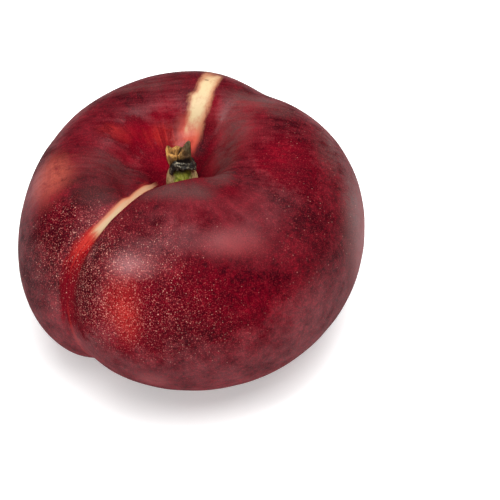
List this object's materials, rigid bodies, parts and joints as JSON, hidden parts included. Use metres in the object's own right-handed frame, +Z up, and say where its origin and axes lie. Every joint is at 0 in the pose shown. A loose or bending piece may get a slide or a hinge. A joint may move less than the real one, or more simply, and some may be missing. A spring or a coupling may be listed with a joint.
{
  "type": "flat peach",
  "caption": "Whole flat peach, squat and ring-shaped with a deep stem cavity and a suture, with its torn stem and dry bud scales, resting on its base.",
  "frame": {"origin": "centre of the bounding box on plan, at the level of the surface that the fruit rests on", "axes": "+Z up along the stem; the suture's deep groove faces -X and -Y, and its shallow one +X and +Y"},
  "size_m": [0.073, 0.071, 0.0453],
  "materials": {
    "skin": "satin burgundy skin with a pale bloom, fine pale dots and a cream line along the suture",
    "stem": "matt, green at the foot and tan torn fibres at the end",
    "bud_scales": "matt, dry, nearly black"
  },
  "bodies": {
    "root": {"fruit": "skin", "stem": "stem", "bud_scales": "bud_scales"}
  },
  "joints": []
}
